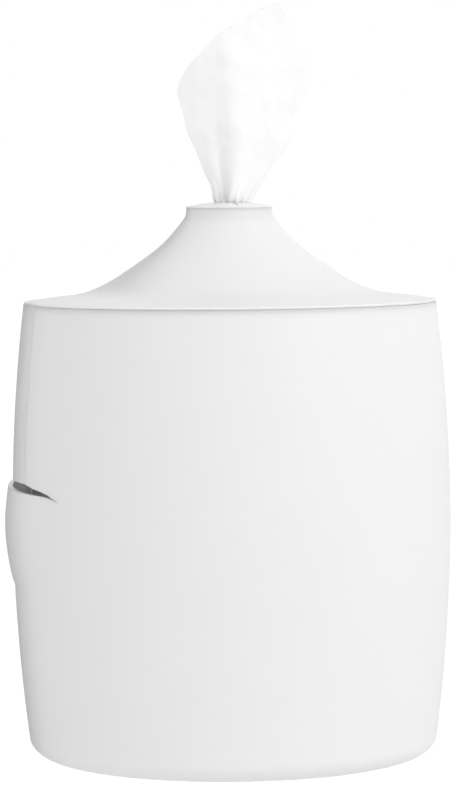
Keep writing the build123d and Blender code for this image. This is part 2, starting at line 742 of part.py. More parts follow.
with BuildPart() as refill_bag:
    with BuildSketch(upright_plane(*BARREL_CENTRE)):
        with BuildLine():
            Polyline(
                (0, TRAY_TOP_Z),
                (bag_radius, TRAY_TOP_Z),
                (bag_radius, bag_top),
                (BAG_MOUTH_RADIUS, bag_top + BAG_SHOULDER),
                (BAG_MOUTH_RADIUS - BAG_FILM, bag_top + BAG_SHOULDER),
                (BAG_MOUTH_RADIUS - BAG_FILM, bag_top + BAG_SHOULDER - BAG_FILM),
                (bag_radius - BAG_FILM, bag_top - BAG_FILM),
                (bag_radius - BAG_FILM, roll_bottom),
                (0, roll_bottom),
                close=True,
            )
        make_face()
    revolve(axis=Axis((0, AXIS_Y, 0), (0, 0, 1)))
save(refill_bag.part, "refill_bag")


# Wipe: the sheet above the nozzle, and the twisted chain of wipes that follows it out of the roll
wipe_across = (cos(radians(WIPE_TURN)), sin(radians(WIPE_TURN)), 0)
with BuildPart() as wipe_sheet:
    for height, middle, half_width, half_thickness in WIPE_SECTIONS:
        with BuildSketch(Plane(origin=(0, AXIS_Y, height), x_dir=wipe_across, z_dir=(0, 0, 1))):
            with Locations((middle, 0)):
                Ellipse(half_width, half_thickness)
    loft()
    with Locations((0, AXIS_Y, NECK_BOTTOM_Z)):
        Cylinder(
            NECK_RADIUS,
            WIPE_SECTIONS[0][0] - NECK_BOTTOM_Z + NECK_OVERLAP,
            align=(Align.CENTER, Align.CENTER, Align.MIN),
        )
save(wipe_sheet.part, "wipe_sheet")

tail_lumps = round((NECK_BOTTOM_Z - TAIL_BOTTOM_Z) / TAIL_LUMP_LENGTH)
tail_step = (NECK_BOTTOM_Z - TAIL_BOTTOM_Z) / (2 * tail_lumps)
tail_outline = [
    (TAIL_THICK_RADIUS if step % 2 else TAIL_THIN_RADIUS, TAIL_BOTTOM_Z + step * tail_step)
    for step in range(2 * tail_lumps + 1)
]
with BuildPart() as wipe_tail:
    with BuildSketch(upright_plane(*BARREL_CENTRE)):
        with BuildLine():
            Spline(*tail_outline)
            Polyline(tail_outline[-1], (0, NECK_BOTTOM_Z), (0, TAIL_BOTTOM_Z), tail_outline[0])
        make_face()
    revolve(axis=Axis((0, AXIS_Y, 0), (0, 0, 1)))
save(wipe_tail.part, "wipe_tail")


# Hinge pins, each with a head at its outer end
for name, side in SIDES.items():
    pin_start = KNUCKLE_X - LUG_GAP - LUG_WIDTH
    pin_end = KNUCKLE_X + KNUCKLE_WIDTH + LUG_GAP + LUG_WIDTH
    pin_axis = Plane(origin=(side * pin_start, HINGE_Y, HINGE_Z), z_dir=(side, 0, 0))
    with BuildPart(pin_axis) as hinge_pin:
        Cylinder(
            HINGE_PIN_RADIUS, pin_end - pin_start, align=(Align.CENTER, Align.CENTER, Align.MIN)
        )
        with Locations((0, 0, pin_end - pin_start)):
            Cylinder(
                HINGE_PIN_RADIUS + HINGE_PIN_HEAD,
                HINGE_PIN_HEAD,
                align=(Align.CENTER, Align.CENTER, Align.MIN),
            )
    save(hinge_pin.part, f"hinge_pin_{name}")


# Latches: lever, pin, torsion spring and strike plate
def lever_outline(side, points):
    """Points given from the middle outwards, on one side."""
    return [(side * x, z) for x, z in points]


for name, side in SIDES.items():
    lever_inner_x = LATCH_PIN_X - LEVER_KNUCKLE_RADIUS
    lever_outer_x = lever_inner_x + LEVER_THICKNESS
    nose_root_x = (lever_inner_x + lever_outer_x) / 2
    pad_height, pad_width, pad_thickness = FINGER_PAD
    pin_plane = Plane(origin=(side * LATCH_PIN_X, LATCH_Y, LATCH_PIN_Z), z_dir=(0, 1, 0))
    knuckle_offset = (LEVER_WIDTH - LEVER_KNUCKLE_LENGTH) / 2
    spring_gap = LEVER_WIDTH - 2 * LEVER_KNUCKLE_LENGTH

    with BuildPart() as latch_lever:
        add(
            block(
                side_range(side, lever_inner_x, lever_outer_x),
                (LATCH_Y - LEVER_WIDTH / 2, LATCH_Y + LEVER_WIDTH / 2),
                (LATCH_PIN_Z, LEVER_TOP_Z),
            )
        )
        add(
            block(
                side_range(side, lever_inner_x - pad_thickness, lever_outer_x),
                (LATCH_Y - pad_width / 2, LATCH_Y + pad_width / 2),
                (LEVER_TOP_Z - pad_height, LEVER_TOP_Z),
            )
        )
        with BuildSketch(Plane(origin=(0, LATCH_Y, 0), x_dir=(1, 0, 0), z_dir=(0, -1, 0))):
            with BuildLine():
                Polyline(
                    *lever_outline(
                        side,
                        [
                            (nose_root_x, NOSE_TOP_Z + NOSE_SLOPE),
                            (lever_inner_x, NOSE_TOP_Z + NOSE_SLOPE),
                            (NOSE_TIP_X, NOSE_TOP_Z),
                            (NOSE_TIP_X, NOSE_TOP_Z - NOSE_LEAD),
                            (NOSE_TIP_X + NOSE_LEAD, NOSE_BOTTOM_Z),
                            (nose_root_x, NOSE_BOTTOM_Z),
                        ],
                    ),
                    close=True,
                )
            make_face()
        extrude(amount=NOSE_WIDTH / 2, both=True)
        with Locations(pin_plane):
            with Locations((0, 0, -knuckle_offset), (0, 0, knuckle_offset)):
                Cylinder(LEVER_KNUCKLE_RADIUS, LEVER_KNUCKLE_LENGTH)
            Box(
                2 * LEVER_KNUCKLE_RADIUS + SPRING_ROOM,
                2 * (LEVER_KNUCKLE_RADIUS + SPRING_ROOM),
                spring_gap,
                mode=Mode.SUBTRACT,
            )
            Cylinder(LATCH_PIN_RADIUS + LATCH_RUNNING_GAP, 2 * LEVER_WIDTH, mode=Mode.SUBTRACT)
    save(latch_lever.part, f"latch_lever_{name}")

    with BuildPart(pin_plane) as latch_pin:
        Cylinder(LATCH_PIN_RADIUS, LATCH_PIN_LENGTH)
    save(latch_pin.part, f"latch_pin_{name}")

    window_width, window_height = STRIKE_WINDOW
    with BuildPart() as strike_plate:
        add(
            block(
                side_range(side, POCKET_WALL_X, POCKET_WALL_X + STRIKE_THICKNESS),
                (LATCH_Y - STRIKE_WIDTH / 2, LATCH_Y + STRIKE_WIDTH / 2),
                STRIKE_RANGE_Z,
            )
        )
        with Locations((side * POCKET_WALL_X, LATCH_Y, (NOSE_TOP_Z + NOSE_BOTTOM_Z) / 2)):
            Box(4 * STRIKE_THICKNESS, window_width, window_height, mode=Mode.SUBTRACT)
        strike_face = Plane(
            origin=(side * (POCKET_WALL_X + STRIKE_THICKNESS), LATCH_Y, 0),
            x_dir=(0, 1, 0),
            z_dir=(side, 0, 0),
        )
        with Locations(strike_face):
            with Locations(*[(0, side * height) for height in STRIKE_SCREW_HEIGHTS]):
                CounterSinkHole(
                    STRIKE_SCREW[2] + SCREW_CLEARANCE,
                    STRIKE_SCREW[0] + SCREW_CLEARANCE,
                    2 * STRIKE_THICKNESS,
                )
    save(strike_plate.part, f"strike_plate_{name}")


# Torsion springs: a coil about the pin, a leg up the lever's back and a leg towards the pocket's wall
coil_foot_y = LATCH_Y - SPRING_LENGTH / 2
lever_leg_x = LATCH_PIN_X - LEVER_KNUCKLE_RADIUS + LEVER_THICKNESS + SPRING_WIRE_RADIUS + SPRING_LEG_GAP
with BuildPart() as right_spring:
    with BuildLine() as coil:
        Helix(
            SPRING_LENGTH / SPRING_TURNS,
            SPRING_LENGTH,
            SPRING_RADIUS,
            center=(LATCH_PIN_X, coil_foot_y, LATCH_PIN_Z),
            direction=(0, 1, 0),
        )
    with BuildSketch(Plane(origin=coil.line @ 0, z_dir=coil.line % 0)):
        Circle(SPRING_WIRE_RADIUS)
    sweep(is_frenet=True)
    lever_leg = (coil.line @ 0, lever_leg_x, SPRING_LEG_TOPS[0])
    wall_leg = (coil.line @ 1, LATCH_PIN_X + SPRING_LEG_SPREAD, SPRING_LEG_TOPS[1])
    for start, end_x, end_z in (lever_leg, wall_leg):
        along = Vector(end_x, start.Y, end_z) - start
        with Locations(Plane(origin=start, z_dir=along)):
            Cylinder(
                SPRING_WIRE_RADIUS, along.length, align=(Align.CENTER, Align.CENTER, Align.MIN)
            )
with BuildPart() as left_spring:
    mirror(right_spring.part, about=Plane.YZ)
save(right_spring.part, "latch_spring_right")
save(left_spring.part, "latch_spring_left")


# Screws, each standing on its plane with the shaft along the plane's normal
def screw_group(planes, screw, sunk):
    """Equal screws; a sunk head lies under the plane's face and a pan head stands on it."""
    head_radius, head_height, shaft_radius, length = screw
    slot_width = DRIVE_SLOT_SHARE * head_radius
    with BuildPart(*planes) as group:
        Cylinder(shaft_radius, length, align=(Align.CENTER, Align.CENTER, Align.MIN))
        if sunk:
            Cone(
                head_radius,
                shaft_radius,
                head_height,
                align=(Align.CENTER, Align.CENTER, Align.MIN),
            )
        else:
            Cylinder(head_radius, head_height, align=(Align.CENTER, Align.CENTER, Align.MAX))
        with Locations((0, 0, 0 if sunk else -head_height)):
            Box(head_radius, slot_width, head_height, mode=Mode.SUBTRACT)
            Box(slot_width, head_radius, head_height, mode=Mode.SUBTRACT)
    return group.part


def planes_at(places, height, direction):
    """Level planes at points in X and Y, facing up or down."""
    return [Plane(origin=(x, y, height), z_dir=(0, 0, direction)) for x, y in places]


membrane_screw_places = [
    (
        MEMBRANE_SCREW_CIRCLE * cos(radians(boss_turn + 360 * turn / MEMBRANE_SCREWS)),
        AXIS_Y + MEMBRANE_SCREW_CIRCLE * sin(radians(boss_turn + 360 * turn / MEMBRANE_SCREWS)),
    )
    for turn in range(MEMBRANE_SCREWS)
]
strike_screw_planes = [
    Plane(
        origin=(side * (POCKET_WALL_X + STRIKE_THICKNESS), LATCH_Y, height), z_dir=(-side, 0, 0)
    )
    for side in SIDES.values()
    for height in STRIKE_SCREW_HEIGHTS
]
save(screw_group(planes_at(hood_screw_places, FLANGE_BOTTOM_Z, 1), HOOD_SCREW, False), "hood_screws")
save(screw_group(planes_at(TRAY_SCREW_PLACES, TRAY_TOP_Z, -1), TRAY_SCREW, True), "tray_screws")
save(
    screw_group(planes_at(membrane_screw_places, ring_bottom, 1), MEMBRANE_SCREW, False),
    "membrane_screws",
)
save(screw_group(strike_screw_planes, STRIKE_SCREW, True), "strike_screws")
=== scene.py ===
"""Looks of the wall-mounted wipes dispenser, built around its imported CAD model."""

import json
import math

import bpy
import numpy as np
from mathutils import Matrix, Vector, noise


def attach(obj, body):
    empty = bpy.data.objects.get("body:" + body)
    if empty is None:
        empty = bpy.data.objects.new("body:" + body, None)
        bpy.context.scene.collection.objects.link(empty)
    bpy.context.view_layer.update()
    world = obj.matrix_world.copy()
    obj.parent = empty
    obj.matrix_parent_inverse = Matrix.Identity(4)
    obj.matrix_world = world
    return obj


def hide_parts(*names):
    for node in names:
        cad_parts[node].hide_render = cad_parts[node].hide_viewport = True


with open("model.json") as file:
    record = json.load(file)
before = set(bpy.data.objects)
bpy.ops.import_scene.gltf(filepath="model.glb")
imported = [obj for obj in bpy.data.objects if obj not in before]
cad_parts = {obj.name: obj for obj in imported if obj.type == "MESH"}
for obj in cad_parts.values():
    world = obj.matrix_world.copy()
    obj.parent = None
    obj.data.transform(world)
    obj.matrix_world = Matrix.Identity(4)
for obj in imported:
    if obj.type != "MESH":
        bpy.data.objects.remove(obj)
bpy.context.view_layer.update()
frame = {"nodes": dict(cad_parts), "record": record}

MM = 0.001
TINY = 1e-12

# Camera, measured in millimetres and degrees about the barrel's axis
AXIS_Y = -141.0
CAMERA_AZIMUTH = -15.0
CAMERA_DISTANCE = 2348.0
CAMERA_HEIGHT = 225.0
CAMERA_PITCH = 3.44
CAMERA_ROLL = 0.49
CAMERA_YAW = 0.061
FOCAL_PIXELS = 3825.5
IMAGE_HEIGHT_PIXELS = 785
SENSOR_MM = 36.0
VIEW_REACH_M = 100.0

# Floor, in millimetres, and lights, in metres
FLOOR_Z = -700.0
FLOOR_RINGS = (1.0, 1500.0, 6000.0, 30000.0)
FLOOR_TURN_STEPS = 64
WORLD_LEVEL = 0.83
WORLD_TILT = 0.42
WORLD_BRIGHT_SIDE = (0.42, -0.88, 0.22)
WORLD_COLOUR = (0.998, 0.998, 1.0, 1.0)
FLOOR_GLOW = 0.3
KEY_WATTS = 5.0
KEY_SIZE = 1.3
KEY_PLACE = (1.25, -2.05, 1.15)
FLAG_CENTRE = (-0.39, 1.31, 0.1)
FLAG_SIZE = (0.9, 2.4)
FLAG_AIM = (0.0, -0.141, 0.0)
FLAG_STEPS = 5

# Wipe, in millimetres: each point is a height and a place across the view
WIPE_TIP_Z = 322.4
WIPE_FOLD_Z = 269.6
WIPE_BACK_CORNER_Z = 239.7
WIPE_BOTTOM_Z = 140.0
WIPE_LEFT = [
    (203.4, -8.9),
    (210.7, -10.7),
    (218.0, -14.3),
    (229.0, -18.5),
    (240.0, -23.0),
    (251.0, -26.3),
    (262.0, -29.5),
    (269.6, -30.9),
    (290.0, -31.2),
    (322.4, -31.2),
]
WIPE_RIGHT = [
    (203.2, 13.8),
    (210.5, 18.7),
    (217.8, 22.8),
    (225.0, 28.2),
    (232.4, 34.4),
    (239.7, 38.4),
    (247.0, 38.2),
    (254.3, 40.5),
    (261.6, 44.5),
    (269.0, 48.0),
    (277.0, 48.6),
    (284.0, 47.5),
    (291.0, 45.7),
    (298.0, 43.3),
    (305.6, 39.3),
    (313.0, 36.1),
    (320.0, 32.6),
    (322.4, 30.0),
]
WIPE_TORN_EDGE = [
    (269.6, -30.9),
    (277.0, -28.5),
    (284.2, -24.1),
    (291.4, -16.7),
    (298.7, -10.2),
    (305.9, -1.3),
    (313.1, 11.0),
    (320.3, 23.3),
    (322.4, 27.6),
]
WIPE_BACK_RIGHT = [(203.2, 13.8), (225.0, 28.2), (232.4, 34.4), (239.7, 38.4)]
WIPE_RIDGE = [(203.0, 3.5), (245.0, 5.0), (270.0, 1.5), (290.0, 0.0), (322.4, 20.0)]
WIPE_CREASE = [(203.0, -3.4), (225.0, -5.0), (257.0, -7.2), (322.4, -9.0)]
NECK_TOP_Z = 199.0
NECK_RADIUS = 5.6
NECK_PLEAT = 3.5
PLEATS = 14
FRONT_STEPS = 190
BACK_STEPS = 170
HEIGHT_STEPS = 190

# Folds of the wipe: depths in millimetres, widths as shares, ranges as pairs of heights
RIDGE_DEPTH = 9.0
RIDGE_TOP_DEPTH = 2.0
RIDGE_FADE = (285.0, 322.0)
PANEL_SOFTNESS = 0.3
CREASE_DEPTH = 3.2
CREASE_WIDTH = 0.07
CREASE_FADE = (205.0, 262.0)
BACK_DEPTH = 3.0
BACK_SLACK = 5.0
BACK_SLACK_FADE = (240.0, 268.0)
BACK_WAVE = 2.2
BACK_WAVES = 3.0
BACK_WAVE_LEAN = 0.04
FOLD_ROUNDNESS = 0.8
LOOP_DEPTH = 12.0
GATHER_RANGE = (191.0, 204.0)
BUNDLE_SHIFT = 2.2
BUNDLE_SHIFT_RANGE = (188.0, 203.0)
TOP_PLEAT = 1.1
PLEAT_START = 0.6
PLEAT_RANGE = (190.0, 201.0)
PLEAT_FADE = (198.0, 220.0)
LEAN_BACK = 7.0
LEAN_RANGE = (230.0, 325.0)
TWIST_PER_MM = 0.018
LOOSE_RANGE = (205.0, 240.0)

# Cloth, in metres; each layer of wrinkles is a cell size, a height and a seed
COARSE_WRINKLES = (0.016, 0.0012, 3.1)
FINE_WRINKLES = (0.006, 0.0003, 8.7)
CLOTH_THICKNESS = 0.0003
FILM_THICKNESS = 0.00012

# Tail of the wipe, in millimetres, and its twist in radians
TAIL_BOTTOM_Z = -35.0
TAIL_LUMPS = 5
TAIL_RADIUS = 4.6
TAIL_SWELL = 0.9
TAIL_PLEAT = 2.6
TAIL_PLEAT_SWELL = 0.6
TAIL_PLEATS = 13
TAIL_TWIST = 5.5
TAIL_TURN_STEPS = 260
TAIL_HEIGHT_STEPS = 150

# Refill, in millimetres
ROLL_BOTTOM_Z = -129.2
ROLL_TOP_Z = 73.8
ROLL_RADIUS = 105.0
ROLL_CORE_RADIUS = 28.0
ROLL_LAYER = 1.4
ROLL_LAYER_POINTS = 4
ROLL_GROOVE = 0.28
ROLL_INSET = 0.25
ROLL_UNEVENNESS = 0.22
ROLL_LOBES = 5
ROLL_SIDE_STEPS = 24
ROLL_TURN_STEPS = 180
BAG_RADIUS = 106.3
BAG_BOTTOM_Z = -129.8
BAG_SHOULDER_Z = 75.0
BAG_MOUTH_RADIUS = 23.8
BAG_MOUTH_Z = 89.0
BAG_MIDDLE_RADIUS = 2.0
BAG_EDGE = 1.0
BAG_CREASE = 0.45
BAG_CREASES = 31
BAG_PLEAT = 2.6
BAG_PLEATS = 26
BAG_SAG = 0.5
BAG_TURN_STEPS = 288
BAG_BOTTOM_STEPS = 10
BAG_SIDE_STEPS = 60
BAG_SHOULDER_STEPS = 40


# Small helpers
def smooth(low, high, value):
    """0 below low, 1 above high and a soft rise between them."""
    t = np.clip((value - low) / (high - low), 0.0, 1.0)
    return t * t * (3.0 - 2.0 * t)


def curve_at(points, value):
    """A smooth line through (position, value) points, read at one position."""
    positions = np.array([p[0] for p in points], float)
    values = np.array([p[1] for p in points], float)
    slopes = np.gradient(values, positions)
    value = float(np.clip(value, positions[0], positions[-1]))
    i = int(np.clip(np.searchsorted(positions, value) - 1, 0, len(points) - 2))
    span = positions[i + 1] - positions[i]
    t = (value - positions[i]) / span
    start = (2 * t**3 - 3 * t**2 + 1) * values[i] + (t**3 - 2 * t**2 + t) * span * slopes[i]
    end = (3 * t**2 - 2 * t**3) * values[i + 1] + (t**3 - t**2) * span * slopes[i + 1]
    return start + end


def grid_object(name, points, closed=False, kept=None):
    """A mesh through a grid of points in metres; closed joins the last column to the first."""
    rows, columns = points.shape[:2]
    index = np.arange(rows * columns).reshape(rows, columns)
    right = np.roll(index, -1, axis=1)
    last = columns if closed else columns - 1
    quads = np.stack(
        [index[:-1, :last], right[:-1, :last], right[1:, :last], index[1:, :last]], axis=-1
    )
    if kept is not None:
        quads = quads[kept]
    used, corners = np.unique(quads, return_inverse=True)
    mesh = bpy.data.meshes.new(name)
    mesh.from_pydata(points.reshape(-1, 3)[used].tolist(), [], corners.reshape(-1, 4).tolist())
    mesh.polygons.foreach_set("use_smooth", [True] * len(mesh.polygons))
    mesh.update()
    piece = bpy.data.objects.new(name, mesh)
    bpy.context.scene.collection.objects.link(piece)
    return piece


def thicken(piece, thickness):
    """Gives a sheet its real thickness."""
    solidify = piece.modifiers.new("thickness", "SOLIDIFY")
    solidify.thickness = thickness
    solidify.offset = 0.0


def facing_camera(across, depth, height):
    """Millimetres across the view, away from the camera and up, as metres in the row frame."""
    turn = math.radians(CAMERA_AZIMUTH)
    x = across * math.cos(turn) - depth * math.sin(turn)
    y = AXIS_Y + across * math.sin(turn) + depth * math.cos(turn)
    return np.stack([x, y, height + 0.0 * x], axis=-1) * MM


def about_axis(radius, angle, height):
    """Millimetres about the barrel's axis, as metres in the row frame."""
    return (
        np.stack(
            [radius * np.sin(angle), AXIS_Y - radius * np.cos(angle), height + 0.0 * radius],
            axis=-1,
        )
        * MM
    )


def ripple(points, cell, seed):
    """Soft noise from -1 to 1 at each point, with cells of a given size in metres."""
    flat = points.reshape(-1, 3) / cell + seed
    values = [noise.noise(Vector(p)) for p in flat]
    return np.array(values).reshape(points.shape[:-1])


# Material helpers
def node(material, kind, **settings):
    """A new shader node with its properties and inputs set."""
    made = material.node_tree.nodes.new(kind)
    for name, value in settings.items():
        if hasattr(made, name):
            setattr(made, name, value)
        else:
            made.inputs[name.replace("_", " ")].default_value = value
    return made


def join(material, source, output, target, socket):
    """Links an output to an input, each by name or number."""
    material.node_tree.links.new(source.outputs[output], target.inputs[socket])


def new_material(name, **settings):
    """A Principled material with constant sockets set, and its shader node."""
    material = bpy.data.materials.new(name)
    material.use_nodes = True
    shader = material.node_tree.nodes["Principled BSDF"]
    for key, value in settings.items():
        shader.inputs[key.replace("_", " ")].default_value = value
    return material, shader


def speckle(material, scale, detail, stretch=(1.0, 1.0, 1.0)):
    """Noise in object space; scale is cells per metre."""
    place = node(material, "ShaderNodeTexCoord")
    squeeze = node(material, "ShaderNodeMapping")
    squeeze.inputs["Scale"].default_value = stretch
    grain = node(material, "ShaderNodeTexNoise", Scale=scale, Detail=detail)
    join(material, place, "Object", squeeze, "Vector")
    join(material, squeeze, "Vector", grain, "Vector")
    return grain


def span(material, source, output, low, high, start=0.3, end=0.7):
    """Maps a noise value to a range of numbers."""
    mapped = node(material, "ShaderNodeMapRange")
    mapped.inputs["From Min"].default_value = start
    mapped.inputs["From Max"].default_value = end
    mapped.inputs["To Min"].default_value = low
    mapped.inputs["To Max"].default_value = high
    join(material, source, output, mapped, "Value")
    return mapped


def tint(material, source, output, first, second):
    """A colour between two, chosen by a value."""
    ramp = node(material, "ShaderNodeValToRGB")
    ramp.color_ramp.elements[0].position = 0.3
    ramp.color_ramp.elements[0].color = (*first, 1.0)
    ramp.color_ramp.elements[1].position = 0.7
    ramp.color_ramp.elements[1].color = (*second, 1.0)
    join(material, source, output, ramp, "Fac")
    return ramp


def relief(material, shader, source, output, depth, edge_round=0.0):
    """Bumps of a given depth in metres, over edges that look rounded by a given radius."""
    bump = node(material, "ShaderNodeBump", Strength=1.0, Distance=depth)
    join(material, source, output, bump, "Height")
    if edge_round:
        edges = node(material, "ShaderNodeBevel", samples=6, Radius=edge_round)
        join(material, edges, "Normal", bump, "Normal")
    join(material, bump, "Normal", shader, "Normal")


def moulded_plastic(name, light, dark, roughness, grain_depth, edge_round, **settings):
    """Moulded plastic: faint clouding, fine grain, and gloss that varies a little."""
    material, shader = new_material(name, **settings)
    clouds = speckle(material, scale=9.0, detail=3.0)
    shade = tint(material, clouds, "Fac", dark, light)
    join(material, shade, "Color", shader, "Base Color")
    grain = speckle(material, scale=1500.0, detail=2.0)
    gloss = span(material, grain, "Fac", roughness - 0.03, roughness + 0.03)
    join(material, gloss, "Result", shader, "Roughness")
    relief(material, shader, grain, "Fac", grain_depth, edge_round)
    return material


def metal(name, colour, worn, roughness, stretch, grain_scale):
    """Steel with fine lines along one direction."""
    material, shader = new_material(name, Metallic=1.0)
    lines = speckle(material, grain_scale, detail=4.0, stretch=stretch)
    shade = tint(material, lines, "Fac", worn, colour)
    join(material, shade, "Color", shader, "Base Color")
    gloss = span(material, lines, "Fac", roughness - 0.06, roughness + 0.1)
    join(material, gloss, "Result", shader, "Roughness")
    relief(material, shader, lines, "Fac", depth=0.00002, edge_round=0.00015)
    return material


def nonwoven(name, light, dark):
    """Nonwoven cloth: a web of fibres with thin and dense places."""
    material, shader = new_material(name, Roughness=0.95, Sheen_Weight=0.15, Sheen_Roughness=0.6)
    place = node(material, "ShaderNodeTexCoord")
    web = node(
        material, "ShaderNodeTexNoise", Scale=900.0, Detail=6.0, Roughness=0.7, Distortion=1.6
    )
    join(material, place, "Object", web, "Vector")
    patches = speckle(material, scale=120.0, detail=4.0)
    shade = tint(material, patches, "Fac", dark, light)
    join(material, shade, "Color", shader, "Base Color")
    relief(material, shader, web, "Fac", depth=0.00012)
    return material


def roll_cloth(name, light, dark):
    """The same cloth wound up: its ends show thin rings about the barrel's axis, with painted shade in
    the grooves between layers.
    """
    material, shader = new_material(name, Roughness=0.95, Sheen_Weight=0.15, Sheen_Roughness=0.6)
    place = node(material, "ShaderNodeTexCoord")
    centred = node(material, "ShaderNodeVectorMath", operation="MULTIPLY_ADD")
    centred.inputs[1].default_value = (1.0, 1.0, 0.0)
    centred.inputs[2].default_value = (0.0, -AXIS_Y * MM, 0.0)
    radius = node(material, "ShaderNodeVectorMath", operation="LENGTH")
    rings = node(material, "ShaderNodeTexNoise", noise_dimensions="1D", Scale=1700.0, Detail=2.0)
    join(material, place, "Object", centred, 0)
    join(material, centred, "Vector", radius, 0)
    join(material, radius, "Value", rings, "W")
    # The dark end of this ramp falls where the ring bump sinks: painted shade between the wound
    # layers.
    shade = tint(material, rings, "Fac", dark, light)
    join(material, shade, "Color", shader, "Base Color")
    relief(material, shader, rings, "Fac", depth=0.0003)
    return material


def film(name):
    """Thin clear film, slightly hazy, with fine creases whose hollows carry painted shade."""
    material, shader = new_material(
        name, Roughness=0.16, Alpha=0.34, Coat_Weight=0.4, Coat_Roughness=0.08
    )
    creases = speckle(material, scale=45.0, detail=5.0, stretch=(1.0, 1.0, 0.35))
    # The darker grey-blue colour follows the hollows of the crease bump: painted shade in the creases.
    shade = tint(material, creases, "Fac", (0.74, 0.77, 0.8), (0.93, 0.95, 0.97))
    join(material, shade, "Color", shader, "Base Color")
    relief(material, shader, creases, "Fac", depth=0.0012)
    return material


# Materials
shell_white = moulded_plastic(
    "shell_white",
    light=(0.905, 0.906, 0.906),
    dark=(0.892, 0.894, 0.896),
    roughness=0.36,
    grain_depth=0.000012,
    edge_round=0.0005,
    Subsurface_Weight=0.8,
    Subsurface_Radius=(1.0, 1.0, 1.0),
    Subsurface_Scale=0.005,
)
nozzle_white = moulded_plastic(
    "nozzle_white",
    light=(0.88, 0.88, 0.872),
    dark=(0.86, 0.862, 0.855),
    roughness=0.44,
    grain_depth=0.00002,
    edge_round=0.0003,
    Subsurface_Weight=0.08,
    Subsurface_Scale=0.002,
)
soft_silicone = moulded_plastic(
    "soft_silicone",
    light=(0.8, 0.81, 0.82),
    dark=(0.74, 0.75, 0.765),
    roughness=0.5,
    grain_depth=0.00003,
    edge_round=0.0003,
    Subsurface_Weight=0.3,
    Subsurface_Scale=0.003,
)
grey_acetal = moulded_plastic(
    "grey_acetal",
    light=(0.62, 0.64, 0.66),
    dark=(0.58, 0.6, 0.62),
    roughness=0.42,
    grain_depth=0.00003,
    edge_round=0.0004,
)
pin_steel = metal(
    "pin_steel",
    colour=(0.66, 0.66, 0.67),
    worn=(0.5, 0.5, 0.51),
    roughness=0.26,
    stretch=(1.0, 1.0, 12.0),
    grain_scale=700.0,
)
screw_zinc = metal(
    "screw_zinc",
    colour=(0.7, 0.7, 0.69),
    worn=(0.52, 0.52, 0.5),
    roughness=0.34,
    stretch=(1.0, 1.0, 1.0),
    grain_scale=1800.0,
)
wipe_cloth = nonwoven("wipe_cloth", light=(0.955, 0.955, 0.955), dark=(0.93, 0.93, 0.93))
# The darker ring colour of the roll is painted shade between its wound layers.
wound_cloth = roll_cloth("wound_cloth", light=(0.94, 0.94, 0.935), dark=(0.72, 0.72, 0.715))
bag_film = film("bag_film")

SLOT_MATERIALS = {
    "white_shell": shell_white,
    "white_nozzle": nozzle_white,
    "silicone": soft_silicone,
    "grey_plastic": grey_acetal,
    "screw_steel": screw_zinc,
    "pin_steel": pin_steel,
    "wipe_cloth": wipe_cloth,
    "bag_film": bag_film,
}
for part in frame["record"]["subparts"]:
    cad = frame["nodes"][part["node"]]
    cad.data.materials.clear()
    cad.data.materials.append(SLOT_MATERIALS[part["material_slot"]])


